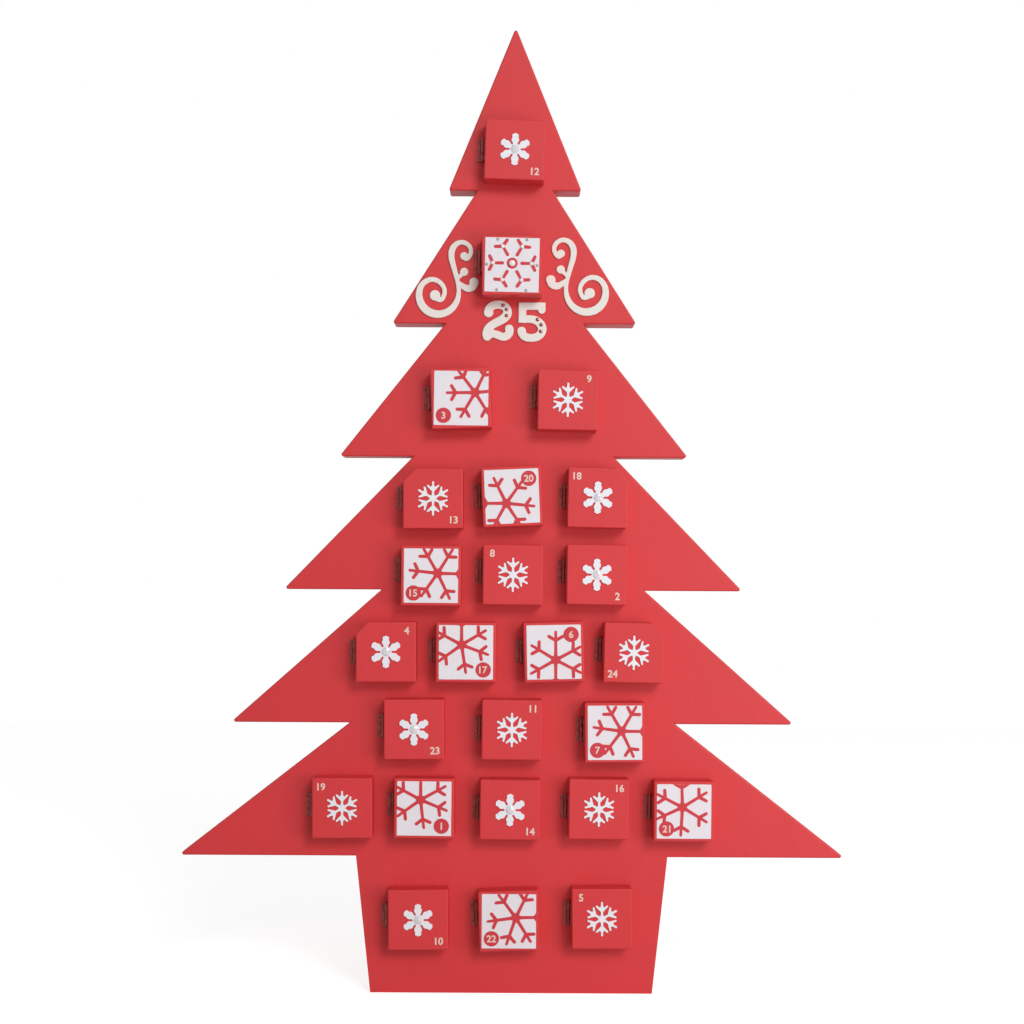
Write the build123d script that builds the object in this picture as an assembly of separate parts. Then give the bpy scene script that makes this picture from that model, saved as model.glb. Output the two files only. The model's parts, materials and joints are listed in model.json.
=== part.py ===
from build123d import *
from math import cos, radians, sin, sqrt
from typing import NamedTuple
import os

# A wooden advent calendar shaped as a fir tree in a pot, in millimetres.
# The tree is one upright board. Twenty-five small hollow boxes stand on its face,
# open towards the board, and each swings sideways on a nailed miniature butt hinge.
# Frame: X to the viewer's right, Z up, the face looks along -Y.
# The origin is the middle of the board's lower edge, on which the calendar stands.

# Tree board, its widths and height taken over the points before they are eased
BOARD_THICKNESS = 18.0
POT_HEIGHT = 85.0
POT_BASE_WIDTH = 175.5
POT_TOP_WIDTH = 194.0
TIER_HEIGHT = 83.0
CROWN_HEIGHT = 102.0
TIER_BASE_WIDTHS = (415.5, 351.0, 286.0, 217.5, 152.5, 83.0)
TIER_TOP_WIDTHS = (202.5, 164.0, 125.5, 86.0, 47.0)
TIP_ROUND = 1.2
BOARD_EDGE_ROUND = 1.0

# Doors: hollow boxes with a thick wall on the hinge side
DOOR_SIZE = 37.0
DOOR_DEPTH = 14.2
DOOR_FRONT = 3.0
DOOR_WALL = 3.0
HINGE_WALL = 5.0
RECESS_ROUND = 2.5
DOOR_EDGE_ROUND = 0.8
CORNER_CUT = 7.5

# Rows of doors from the pot upwards: how far the first is below the pot's rim, how many tiers
# the others are above it, each row's shift to the right, and the gaps between its doors from the left
POT_ROW_DROP = 36.0
ROW_TIER_SHARES = (0.382, 0.967, 1.54, 2.113, 2.69, 3.413, 4.41, 5.265)
ROW_SHIFTS = (-0.8, 0.7, 1.3, -1.7, 0.5, 1.2, 0.3, -1.7, -0.2)
ROW_GAPS = (
    (18.8, 20.2),
    (13.4, 15.8, 17.7, 15.2),
    (23.2, 26.3),
    (12.2, 17.1, 12.2),
    (13.4, 14.6),
    (11.5, 15.8),
    (28.7,),
    (),
    (),
)

# Hinges: a frame leaf flat on the board, a door leaf on the door's left side, a pin
HINGE_HEIGHT = 14.5
KNUCKLE_RADIUS = 1.35
KNUCKLE_GAP = 0.2
LEAF_THICKNESS = 0.6
FRAME_LEAF_REACH = 3.4
DOOR_LEAF_REACH = 6.0
PIN_RADIUS = 0.6
PIN_END = 0.4
PIN_END_ROUND = 0.25
NAIL_RADIUS = 0.5
NAIL_HEAD_RADIUS = 0.75
NAIL_HEAD_HEIGHT = 0.4
NAIL_HEAD_ROUND = 0.25
NAIL_INSET = 2.05
BOARD_NAIL_LENGTH = 8.0
DOOR_NAIL_COVER = 1.6

# Clearances
RUNNING_GAP = 0.3
PIN_CLEARANCE = 0.05
NAIL_CLEARANCE = 0.03

# Cream ornaments glued on the board around the door of the last day, each a little off its middle:
# how far to the right and upwards
ORNAMENT_THICKNESS = 1.2
ORNAMENT_SAMPLES = 48
NUMERAL_SAMPLES = 20
ORNAMENT_PLACES = {
    "scroll_left": (0.8, -0.5),
    "scroll_right": (-0.3, 1.3),
    "numeral_two": (0.7, 0.0),
    "numeral_five": (0.7, 0.0),
}

FACE_Y = -BOARD_THICKNESS / 2
TIER_BASES = [POT_HEIGHT + TIER_HEIGHT * i for i in range(len(TIER_BASE_WIDTHS))]
ROW_HEIGHTS = [POT_HEIGHT - POT_ROW_DROP]
ROW_HEIGHTS += [POT_HEIGHT + TIER_HEIGHT * share for share in ROW_TIER_SHARES]
HINGE_OFFSET = KNUCKLE_RADIUS + RUNNING_GAP
KNUCKLE_HEIGHT = (HINGE_HEIGHT - 2 * KNUCKLE_GAP) / 3
BORE_RADIUS = PIN_RADIUS + PIN_CLEARANCE
NAIL_HOLE_RADIUS = NAIL_RADIUS + NAIL_CLEARANCE
NAIL_SPACING = HINGE_HEIGHT - 2 * NAIL_INSET
DOOR_NAIL_LENGTH = LEAF_THICKNESS + HINGE_WALL - DOOR_NAIL_COVER


class DoorRow(NamedTuple):
    """A level row of doors: its height, shift to the right, days and gaps from the left."""

    height: float
    shift: float
    days: tuple
    gaps: tuple


class Door(NamedTuple):
    """A door's number and its own plane on the board: x to its right, y up, z towards the viewer."""

    number: int
    plane: Plane


DAYS_IN_ROWS = (
    (10, 22, 5),
    (19, 1, 14, 16, 21),
    (23, 11, 7),
    (4, 17, 6, 24),
    (15, 8, 2),
    (13, 20, 18),
    (3, 9),
    (25,),
    (12,),
)
DOOR_ROWS = [DoorRow(*row) for row in zip(ROW_HEIGHTS, ROW_SHIFTS, DAYS_IN_ROWS, ROW_GAPS)]

# Each door was nailed on by eye: degrees clockwise, seen from the front
DOOR_TILTS = {
    1: 0.3, 2: 0.6, 3: -2.0, 4: -0.4, 5: -0.5,
    6: -1.8, 7: -0.5, 8: 0.4, 9: 0.8, 10: -0.7,
    11: 0.3, 12: 1.7, 13: -0.2, 14: 0.5, 15: 0.2,
    16: 0.4, 17: 0.1, 18: 1.0, 19: -0.3, 20: -2.6,
    21: 0.2, 22: -1.8, 23: -0.4, 24: 0.9, 25: -0.2,
}

# How far each door's middle is above its row's line
DOOR_LIFTS = {
    1: 0.0, 2: 0.5, 3: 0.7, 4: 0.0, 5: 0.4,
    6: 0.4, 7: -1.4, 8: 0.2, 9: 0.0, 10: -0.8,
    11: 0.0, 12: 0.0, 13: -1.0, 14: -0.6, 15: -0.6,
    16: 0.0, 17: 0.0, 18: 0.0, 19: 0.0, 20: 0.5,
    21: -1.0, 22: -1.3, 23: 0.0, 24: 0.2, 25: 0.0,
}

# The hinges were nailed on by eye too: how far each one's middle is above its door's
HINGE_LIFTS = {
    1: 1.0, 2: 2.0, 3: 1.8, 4: 0.0, 5: 1.1,
    6: 0.6, 7: 0.9, 8: 1.8, 9: 3.0, 10: 0.8,
    11: -0.5, 12: 2.1, 13: 1.0, 14: -0.4, 15: 3.6,
    16: 0.0, 17: 0.5, 18: 1.0, 19: 0.5, 20: 1.5,
    21: 1.0, 22: 2.8, 23: 1.0, 24: 1.3, 25: 4.0,
}

# Doors with an upper corner cut off, because it would reach past the sloping edge
CUT_CORNERS = {4: -1, 13: -1, 18: 1, 24: 1}

# Scroll strokes, measured outwards and upwards from the last day's door: point and width
SCROLL_STEM = (
    ((30.7, 8.4), 3.0),
    ((28.9, 6.6), 2.8),
    ((26.8, 9.2), 2.8),
    ((27.0, 13.8), 3.2),
    ((32.0, 16.9), 4.0),
    ((37.0, 14.4), 3.6),
    ((38.6, 8.6), 3.2),
    ((37.3, 2.2), 2.7),
    ((35.4, -4.7), 2.7),
    ((34.0, -11.7), 3.5),
    ((34.4, -17.8), 4.2),
    ((38.2, -24.4), 4.7),
    ((46.0, -27.9), 5.0),
    ((54.5, -25.0), 4.8),
    ((58.6, -16.8), 4.4),
    ((56.3, -9.0), 3.7),
    ((50.2, -6.3), 3.3),
    ((44.4, -9.4), 3.0),
    ((42.8, -15.2), 2.8),
    ((45.4, -19.2), 2.8),
    ((48.7, -16.2), 3.0),
)
SCROLL_BUD_HIGH = (((35.4, -6.6), 1.6), ((33.2, -4.3), 2.3), ((30.6, -1.5), 3.7))
SCROLL_BUD_LOW = (
    ((34.8, -7.4), 1.8),
    ((31.5, -10.2), 3.0),
    ((27.6, -11.8), 4.3),
    ((24.8, -10.2), 4.8),
    ((24.4, -8.0), 4.8),
)
SCROLL_BALLS = (((30.7, 8.4), 2.5), ((48.7, -16.2), 3.3), ((30.6, -1.5), 2.6), ((24.4, -8.0), 3.0))

# Numeral strokes under the last day's door, from the same point: to the right and upwards
TWO_HOOK = (
    ((-15.2, -26.9), 5.2),
    ((-14.3, -24.2), 5.2),
    ((-9.3, -22.3), 5.2),
    ((-4.3, -24.2), 5.4),
    ((-3.5, -27.8), 5.6),
    ((-6.2, -31.2), 5.4),
    ((-11.0, -33.8), 5.2),
    ((-15.2, -37.2), 5.2),
    ((-16.2, -41.8), 5.4),
)
TWO_FOOT = (
    ((-16.0, -42.2), 5.4),
    ((-10.2, -40.9), 4.8),
    ((-5.0, -42.2), 5.0),
    ((-2.5, -40.2), 5.2),
    ((-2.3, -37.3), 5.0),
)
TWO_BALLS = (((-15.2, -27.2), 3.0), ((-16.0, -42.2), 2.7), ((-2.3, -37.3), 2.7))
FIVE_FLAG = (((17.9, -25.6), 4.6), ((17.9, -23.0), 4.7), ((17.9, -20.8), 4.8))
FIVE_BAR = (((3.6, -23.1), 4.7), ((12.0, -23.1), 4.7), ((20.3, -23.1), 4.7))
FIVE_POST = (((6.0, -20.8), 4.8), ((5.9, -27.2), 4.8), ((5.7, -33.6), 4.8))
FIVE_BOWL = (
    ((5.9, -31.6), 4.4),
    ((10.6, -31.2), 4.8),
    ((15.9, -33.0), 5.2),
    ((18.3, -37.2), 5.4),
    ((16.3, -41.4), 5.2),
    ((11.3, -42.9), 5.0),
    ((6.9, -41.7), 5.0),
    ((5.5, -38.7), 5.2),
)
FIVE_BALLS = (((17.9, -25.6), 2.3), ((5.5, -38.7), 2.8))


def door_places():
    """Lays the rows out from their gaps and returns every door with its plane."""
    doors = []
    for row in DOOR_ROWS:
        x = row.shift - (DOOR_SIZE * (len(row.days) - 1) + sum(row.gaps)) / 2
        for number, gap in zip(row.days, (*row.gaps, 0)):
            tilt = radians(DOOR_TILTS[number])
            plane = Plane(
                origin=(x, FACE_Y, row.height + DOOR_LIFTS[number]),
                x_dir=(cos(tilt), 0, -sin(tilt)),
                z_dir=(0, -1, 0),
            )
            doors.append(Door(number, plane))
            x += DOOR_SIZE + gap
    return sorted(doors, key=lambda door: door.number)


def hinge_plane(door):
    """The hinge's own plane: origin mid-height on the pin's axis, x out of the board, y right, z up."""
    across = -DOOR_SIZE / 2 - HINGE_OFFSET
    origin = door.plane.from_local_coords(Vector(across, HINGE_LIFTS[door.number], HINGE_OFFSET))
    return Plane(origin=origin, x_dir=door.plane.z_dir, z_dir=door.plane.y_dir)


def span(x, y, z):
    """A box between two limits on each axis."""
    low, high = zip(x, y, z)
    size = [b - a for a, b in zip(low, high)]
    middle = [(a + b) / 2 for a, b in zip(low, high)]
    return Pos(*middle) * Box(*size)


def tree_outline():
    """The tree's outline with its points eased, in the XZ plane."""
    right = [(POT_BASE_WIDTH / 2, 0), (POT_TOP_WIDTH / 2, POT_HEIGHT)]
    for tier, width in enumerate(TIER_BASE_WIDTHS):
        right.append((width / 2, TIER_BASES[tier]))
        if tier < len(TIER_TOP_WIDTHS):
            right.append((TIER_TOP_WIDTHS[tier] / 2, TIER_BASES[tier] + TIER_HEIGHT))
    tip = (0, TIER_BASES[-1] + CROWN_HEIGHT)
    left = [(-x, z) for x, z in reversed(right)]
    face = make_face(Polyline(*right, tip, *left, close=True))
    points = [(width / 2, base) for width, base in zip(TIER_BASE_WIDTHS, TIER_BASES)]
    points += [(-x, z) for x, z in points]
    points.append(tip)
    sharp = [face.vertices().sort_by_distance((x, z, 0))[0] for x, z in points]
    return fillet(sharp, TIP_ROUND)


def make_board(doors):
    """The tree board with a pilot hole for every nail of the frame leaves.

    The tree's edges are eased. The pot's stay square, so that the board stands on four sharp corners.
    """
    board = extrude(Plane.XZ * tree_outline(), BOARD_THICKNESS / 2, both=True)
    faces = board.faces().sort_by(Axis.Y)
    base = board.faces().sort_by(Axis.Z)[0]
    rims = [e for face in (faces[0], faces[-1]) for e in face.edges()]
    rims = [e for e in rims if e.bounding_box().min.Z > base.center().Z + BOARD_EDGE_ROUND]
    board = fillet(rims, BOARD_EDGE_ROUND)
    depth = BOARD_NAIL_LENGTH + NAIL_CLEARANCE
    hole = Cylinder(NAIL_HOLE_RADIUS, 2 * depth)
    holes = [at * hole for door in doors for at in board_nail_places(door)]
    return board - holes


def box_outline(left, right, low, high, cut, side):
    """A rectangle, with its upper left (side -1) or upper right (side 1) corner cut off."""
    corners = [(left, low), (right, low)]
    corners += [(right, high - cut), (right - cut, high)] if side == 1 else [(right, high)]
    corners += [(left + cut, high), (left, high - cut)] if side == -1 else [(left, high)]
    return make_face(Polyline(*corners, close=True))


def make_door(door):
    """A hollow box, open at the back, with nail holes in the thick wall on its hinge side."""
    half = DOOR_SIZE / 2
    side = CUT_CORNERS.get(door.number, 0)
    outer = extrude(box_outline(-half, half, -half, half, CORNER_CUT, side), DOOR_DEPTH)
    back = outer.faces().sort_by(Axis.Z)[0]
    eased = [e for e in outer.edges() if e.center().Z > back.center().Z]
    box = fillet(eased, DOOR_EDGE_ROUND)
    near_wall = HINGE_WALL if side == -1 else DOOR_WALL
    inner_cut = CORNER_CUT + sqrt(2) * DOOR_WALL - near_wall - DOOR_WALL
    low, high = -half + DOOR_WALL, half - DOOR_WALL
    recess = box_outline(-half + HINGE_WALL, half - DOOR_WALL, low, high, inner_cut, side)
    recess = extrude(fillet(recess.vertices(), RECESS_ROUND), DOOR_DEPTH - DOOR_FRONT)
    box = Pos(0, 0, RUNNING_GAP) * (box - recess)
    holes = [at * Cylinder(NAIL_HOLE_RADIUS, 2 * DOOR_NAIL_LENGTH) for at in door_nail_places(door)]
    return door.plane * box - holes


def knuckle(height):
    """A rolled knuckle without its bore."""
    return Pos(0, 0, height) * Cylinder(KNUCKLE_RADIUS, KNUCKLE_HEIGHT)


def end_knuckle_heights():
    """The middles of the frame leaf's two knuckles, above and below the door's one."""
    rise = KNUCKLE_HEIGHT + KNUCKLE_GAP
    return (-rise, rise)


def make_frame_leaf(door):
    """The leaf nailed flat on the board, with the two end knuckles."""
    under = (-HINGE_OFFSET, -HINGE_OFFSET + LEAF_THICKNESS)
    tall = (-HINGE_HEIGHT / 2, HINGE_HEIGHT / 2)
    leaf = span(under, (-FRAME_LEAF_REACH, -HINGE_OFFSET), tall)
    for height in end_knuckle_heights():
        reach = (height - KNUCKLE_HEIGHT / 2, height + KNUCKLE_HEIGHT / 2)
        leaf += span(under, (-HINGE_OFFSET, 0), reach)
        leaf += knuckle(height)
    leaf -= Cylinder(BORE_RADIUS, 2 * HINGE_HEIGHT)
    hole = Cylinder(NAIL_HOLE_RADIUS, 2 * BOARD_NAIL_LENGTH)
    return hinge_plane(door) * leaf - [at * hole for at in board_nail_places(door)]


def make_door_leaf(door):
    """The leaf nailed on the door's left side, with the middle knuckle."""
    beside = (HINGE_OFFSET - LEAF_THICKNESS, HINGE_OFFSET)
    tall = (-HINGE_HEIGHT / 2, HINGE_HEIGHT / 2)
    leaf = span((HINGE_OFFSET, DOOR_LEAF_REACH), beside, tall)
    leaf += span((0, HINGE_OFFSET), beside, (-KNUCKLE_HEIGHT / 2, KNUCKLE_HEIGHT / 2))
    leaf += knuckle(0)
    leaf -= Cylinder(BORE_RADIUS, 2 * HINGE_HEIGHT)
    hole = Cylinder(NAIL_HOLE_RADIUS, 2 * DOOR_NAIL_LENGTH)
    return hinge_plane(door) * leaf - [at * hole for at in door_nail_places(door)]


def make_pin(door):
    """The hinge pin, which stands out a little at both ends."""
    pin = Cylinder(PIN_RADIUS, HINGE_HEIGHT + 2 * PIN_END)
    return hinge_plane(door) * fillet(pin.edges().filter_by(GeomType.CIRCLE), PIN_END_ROUND)


def make_nail(length):
    """A round-headed nail, head up, with the underside of its head at the origin."""
    head = Pos(0, 0, NAIL_HEAD_HEIGHT / 2) * Cylinder(NAIL_HEAD_RADIUS, NAIL_HEAD_HEIGHT)
    head = fillet(head.edges().filter_by(GeomType.CIRCLE).sort_by(Axis.Z)[-1], NAIL_HEAD_ROUND)
    return head + Pos(0, 0, -length / 2) * Cylinder(NAIL_RADIUS, length)


def board_nail_places(door):
    """Where the frame leaf's nails stand: origin under the head, z out of the board."""
    outer_face = -HINGE_OFFSET + LEAF_THICKNESS
    across = -(FRAME_LEAF_REACH + HINGE_OFFSET) / 2
    hinge = hinge_plane(door)
    places = []
    for height in (-NAIL_SPACING / 2, NAIL_SPACING / 2):
        origin = hinge.from_local_coords(Vector(outer_face, across, height))
        places.append(Plane(origin=origin, x_dir=hinge.z_dir, z_dir=hinge.x_dir).location)
    return places


def door_nail_places(door):
    """Where the door leaf's nails stand: origin under the head, z out of the door's left side."""
    outer_face = HINGE_OFFSET - LEAF_THICKNESS
    out = (DOOR_LEAF_REACH + HINGE_OFFSET) / 2
    hinge = hinge_plane(door)
    places = []
    for height in (-NAIL_SPACING / 2, NAIL_SPACING / 2):
        origin = hinge.from_local_coords(Vector(out, outer_face, height))
        places.append(Plane(origin=origin, x_dir=hinge.z_dir, z_dir=-hinge.y_dir).location)
    return places


def width_at(stroke, share):
    """A stroke's width a given share of the way through its points."""
    place = share * (len(stroke) - 1)
    first = min(int(place), len(stroke) - 2)
    near, far = stroke[first][1], stroke[first + 1][1]
    return near + (far - near) * (place - first)


def ribbon(stroke, samples):
    """A flat stroke of changing width along a smooth curve through its points."""
    middle = Spline(*[point for point, width in stroke])
    lefts, rights = [], []
    for step in range(samples + 1):
        share = step / samples
        point, along = middle @ share, (middle % share).normalized()
        aside = Vector(-along.Y, along.X) * (width_at(stroke, share) / 2)
        lefts.append(point + aside)
        rights.append(point - aside)
    left, right = Spline(*lefts), Spline(*rights)
    return make_face([left, right, Line(lefts[0], rights[0]), Line(lefts[-1], rights[-1])])


def flat_ornament(strokes, balls, samples, mirrored=False):
    """Strokes and round ends fused into one thin plate on the board's face."""
    sketch = Sketch()
    for stroke in strokes:
        sketch += ribbon(stroke, samples)
    for (x, y), radius in balls:
        sketch += Pos(x, y) * Circle(radius)
    if mirrored:
        sketch = mirror(sketch, Plane.YZ)
    return extrude(sketch, ORNAMENT_THICKNESS)


def make_ornaments(last_day):
    """The two scrolls and the two numerals around the door of the last day."""
    scroll = (SCROLL_STEM, SCROLL_BUD_HIGH, SCROLL_BUD_LOW)
    five_strokes = (FIVE_FLAG, FIVE_BAR, FIVE_POST, FIVE_BOWL)
    plates = {
        "scroll_left": flat_ornament(scroll, SCROLL_BALLS, ORNAMENT_SAMPLES, mirrored=True),
        "scroll_right": flat_ornament(scroll, SCROLL_BALLS, ORNAMENT_SAMPLES),
        "numeral_two": flat_ornament((TWO_HOOK, TWO_FOOT), TWO_BALLS, NUMERAL_SAMPLES),
        "numeral_five": flat_ornament(five_strokes, FIVE_BALLS, NUMERAL_SAMPLES),
    }
    nodes = {}
    for name, plate in plates.items():
        across, up = ORNAMENT_PLACES[name]
        origin = last_day.plane.origin + Vector(across, 0, up)
        nodes[name] = Plane(origin=origin, x_dir=(1, 0, 0), z_dir=(0, -1, 0)) * plate
    return nodes


def make_parts():
    """Every node by name."""
    doors = door_places()
    board_nail = make_nail(BOARD_NAIL_LENGTH)
    door_nail = make_nail(DOOR_NAIL_LENGTH)
    nodes = {
        "tree_board": make_board(doors),
        "frame_hinge_leaves": Compound([make_frame_leaf(door).solid() for door in doors]),
        "hinge_pins": Compound([make_pin(door).solid() for door in doors]),
        "frame_hinge_nails": Compound(
            [(at * board_nail).solid() for door in doors for at in board_nail_places(door)]
        ),
    }
    nodes |= make_ornaments(next(door for door in doors if door.number == max(DOOR_TILTS)))
    for door in doors:
        nails = [(at * door_nail).solid() for at in door_nail_places(door)]
        nodes[f"door_{door.number:02d}"] = make_door(door)
        nodes[f"door_hinge_leaf_{door.number:02d}"] = Compound([make_door_leaf(door).solid(), *nails])
    return nodes


os.makedirs("parts", exist_ok=True)
for name, node in make_parts().items():
    export_step(node, f"parts/{name}.step")
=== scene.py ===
# %% [markdown]
# # A tree-shaped advent calendar
# The calendar is a red fir tree cut from one board. Twenty-five small boxes are hinged on its face.
# The construction comes from the CAD frame: board, boxes, hinges, pins, nails and cream ornaments
# are already at their real size. This lesson gives them their finish, and adds the thin trim that
# makes each door its own: white tiles, snowflakes, day numbers, stones and pearls.

# %% Load the frame
import json
import math

import bmesh
import bpy
from mathutils import Matrix, Vector


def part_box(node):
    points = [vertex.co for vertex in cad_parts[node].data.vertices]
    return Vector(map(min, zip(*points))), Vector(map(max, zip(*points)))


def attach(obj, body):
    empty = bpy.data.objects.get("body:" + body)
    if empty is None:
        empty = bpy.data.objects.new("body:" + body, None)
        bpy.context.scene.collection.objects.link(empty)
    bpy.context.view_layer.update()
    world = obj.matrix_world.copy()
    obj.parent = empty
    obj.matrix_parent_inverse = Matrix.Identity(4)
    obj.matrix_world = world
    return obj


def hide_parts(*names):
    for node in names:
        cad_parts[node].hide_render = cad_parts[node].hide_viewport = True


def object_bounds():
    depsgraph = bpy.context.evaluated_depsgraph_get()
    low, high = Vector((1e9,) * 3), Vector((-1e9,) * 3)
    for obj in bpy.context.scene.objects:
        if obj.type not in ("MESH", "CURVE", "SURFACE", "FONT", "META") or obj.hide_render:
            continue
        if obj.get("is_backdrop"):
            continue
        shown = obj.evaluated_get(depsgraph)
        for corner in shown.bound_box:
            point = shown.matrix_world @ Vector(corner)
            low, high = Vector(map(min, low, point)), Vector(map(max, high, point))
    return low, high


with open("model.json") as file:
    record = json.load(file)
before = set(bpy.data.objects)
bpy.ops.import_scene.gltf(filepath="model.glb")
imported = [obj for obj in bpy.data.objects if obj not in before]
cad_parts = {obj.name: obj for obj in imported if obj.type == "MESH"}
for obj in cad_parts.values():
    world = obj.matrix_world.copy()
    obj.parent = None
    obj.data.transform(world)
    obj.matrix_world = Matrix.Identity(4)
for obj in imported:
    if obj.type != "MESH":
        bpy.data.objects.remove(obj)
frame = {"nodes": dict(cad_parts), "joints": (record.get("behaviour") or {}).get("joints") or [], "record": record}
cad_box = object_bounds()
MM = 0.001

# %% [markdown]
# ## Camera
# The photograph is taken from straight ahead, about a metre away, with the lens level with the middle
# of the tree and turned by a third of a degree. The frame is shifted up rather than the camera tilted,
# because the tree's upright lines stay parallel.

# %% Camera
CAMERA_DISTANCE = 1.047
CAMERA_HEIGHT = 0.2605
FIELD_AT_FACE = 0.638
CAMERA_ROLL = math.radians(0.3)
SENSOR_WIDTH = 36
FRAME_SHIFT = (-0.0011, 0.0615)

board_low, board_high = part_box("tree_board")
camera_data = bpy.data.cameras.new("camera")
camera_data.sensor_width = SENSOR_WIDTH
camera_data.lens = SENSOR_WIDTH * CAMERA_DISTANCE / FIELD_AT_FACE
camera_data.shift_x, camera_data.shift_y = FRAME_SHIFT
camera = bpy.data.objects.new("camera", camera_data)
camera.location = (0, board_low.y - CAMERA_DISTANCE, CAMERA_HEIGHT)
camera.rotation_euler = (math.radians(90), -CAMERA_ROLL, 0)
bpy.context.scene.collection.objects.link(camera)
bpy.context.scene.camera = camera
bpy.context.scene.view_settings.view_transform = "Standard"
print("camera lens:", round(camera_data.lens, 1), "mm")

# %% [markdown]
# ## Nodes in code
# Materials, the world and the repeated shapes are all node trees, so one small helper adds a node,
# sets its properties and fills its inputs. An input that is given a socket is linked to it.


# %% Node helper
def put(tree, kind, inputs=None, **settings):
    """Adds a node to a tree. Inputs are keyed by name or number, settings are the node's properties."""
    node = tree.nodes.new(kind)
    for name, value in settings.items():
        setattr(node, name, value)
    for key, value in (inputs or {}).items():
        if isinstance(value, bpy.types.NodeSocket):
            tree.links.new(value, node.inputs[key])
        else:
            node.inputs[key].default_value = value
    return node


def maths(tree, operation, *values, clamp=False):
    """A Math node's result."""
    node = put(tree, "ShaderNodeMath", dict(enumerate(values)), operation=operation, use_clamp=clamp)
    return node.outputs[0]


def spread(tree, value, low, high, out_low, out_high):
    """Maps a value from one range to another, held at its ends."""
    inputs = {"Value": value, "From Min": low, "From Max": high, "To Min": out_low, "To Max": out_high}
    return put(tree, "ShaderNodeMapRange", inputs).outputs["Result"]


def mixed(tree, share, first, second):
    """Two colours mixed by a share."""
    node = put(tree, "ShaderNodeMix", {0: share, 6: first, 7: second}, data_type="RGBA")
    return node.outputs[2]


print("node helpers ready")

# %% [markdown]
# ## Studio
# A large soft lamp stands up and to the right, so that each box throws a short soft shadow down to its
# left. A second one, low and close on the right, makes that side of the tree a little lighter than the
# other. White surroundings fill the shadows. What the camera sees of floor and world is white, and the
# floor still takes the tree's shadow.

# %% Studio light and floor
LAMP_AIM = Vector((0.02, 0.0, 0.27))
LAMPS = {
    "key": {"place": Vector((1.06, -2.53, 1.51)), "size": 1.05, "power": 38.5},
    "side": {"place": Vector((0.60, -0.66, 0.14)), "size": 0.55, "power": 3.0},
}
FILL_STRENGTH = 0.35
FLOOR_HALF_WIDTH = 1.8
FLOOR_SHADE = (0.62, 0.62, 0.62, 1)
FLOOR_GLOW = 0.74


def seen_directly(tree):
    """One for rays that show the background: from the camera, a reflection or glass."""
    path = put(tree, "ShaderNodeLightPath")
    mirror = maths(tree, "MAXIMUM", path.outputs["Is Glossy Ray"], path.outputs["Is Transmission Ray"])
    return maths(tree, "MAXIMUM", path.outputs["Is Camera Ray"], mirror)


def make_world():
    """White to look at, and a softer fill light on the object."""
    world = bpy.data.worlds.new("white_studio")
    world.use_nodes = True
    tree = world.node_tree
    tree.nodes.clear()
    strength = spread(tree, seen_directly(tree), 0, 1, FILL_STRENGTH, 1.0)
    background = put(tree, "ShaderNodeBackground", {"Color": (1, 1, 1, 1), "Strength": strength})
    put(tree, "ShaderNodeOutputWorld", {"Surface": background.outputs[0]})
    bpy.context.scene.world = world


def make_floor():
    """A pale floor that is white to look at and keeps a soft shadow."""
    corner = FLOOR_HALF_WIDTH
    mesh = bpy.data.meshes.new("floor")
    corners = [(-corner, -corner, 0), (corner, -corner, 0), (corner, corner, 0), (-corner, corner, 0)]
    mesh.from_pydata(corners, [], [(0, 1, 2, 3)])
    material = bpy.data.materials.new("floor_white")
    material.use_nodes = True
    tree = material.node_tree
    tree.nodes.clear()
    matt = put(tree, "ShaderNodeBsdfDiffuse", {"Color": FLOOR_SHADE})
    glow_strength = maths(tree, "MULTIPLY", seen_directly(tree), FLOOR_GLOW)
    glow = put(tree, "ShaderNodeEmission", {"Color": (1, 1, 1, 1), "Strength": glow_strength})
    both = put(tree, "ShaderNodeAddShader", {0: matt.outputs[0], 1: glow.outputs[0]})
    put(tree, "ShaderNodeOutputMaterial", {"Surface": both.outputs[0]})
    mesh.materials.append(material)
    floor = bpy.data.objects.new("floor", mesh)
    bpy.context.scene.collection.objects.link(floor)
    floor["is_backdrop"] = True


def make_lamp(name, place, size, power):
    """A round soft lamp that looks at the middle of the tree."""
    light = bpy.data.lights.new(name, "AREA")
    light.shape = "DISK"
    light.size = size
    light.energy = power
    lamp = bpy.data.objects.new(name, light)
    lamp.location = place
    lamp.rotation_euler = (LAMP_AIM - place).to_track_quat("-Z", "Y").to_euler()
    bpy.context.scene.collection.objects.link(lamp)


make_world()
make_floor()
for name, facts in LAMPS.items():
    make_lamp(name, **facts)
print("studio:", len(LAMPS), "soft lamps and a white surround")

# %% [markdown]
# ## Shared effects
# Two effects come back in several finishes, so each is a shader group. A paint film is never quite
# even: it has soft blotches, faint strokes along the board and the stipple of a roller. Edges are
# lighter: comparing the surface normal with a rounded one finds them, and a noise breaks the line up.
# On the hinges that is rubbed metal; on the paint it is partly wear and partly a painted highlight.

# %% Shader groups
BLOTCH_SCALE = 22
STROKE_SCALE = (420, 420, 30)
STIPPLE_SCALE = 1500
CHIP_SCALE = 260
BEVEL_SAMPLES = 6


def new_group(name, inputs, outputs):
    """A shader group with float or colour sockets, and its two end nodes."""
    group = bpy.data.node_groups.new(name, "ShaderNodeTree")
    for label, kind in inputs:
        group.interface.new_socket(label, in_out="INPUT", socket_type=kind)
    for label, kind in outputs:
        group.interface.new_socket(label, in_out="OUTPUT", socket_type=kind)
    return group, group.nodes.new("NodeGroupInput").outputs, group.nodes.new("NodeGroupOutput")


def noise(tree, vector, scale, detail):
    """A noise texture's value."""
    inputs = {"Vector": vector, "Scale": scale, "Detail": detail}
    return put(tree, "ShaderNodeTexNoise", inputs).outputs["Fac"]


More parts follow.
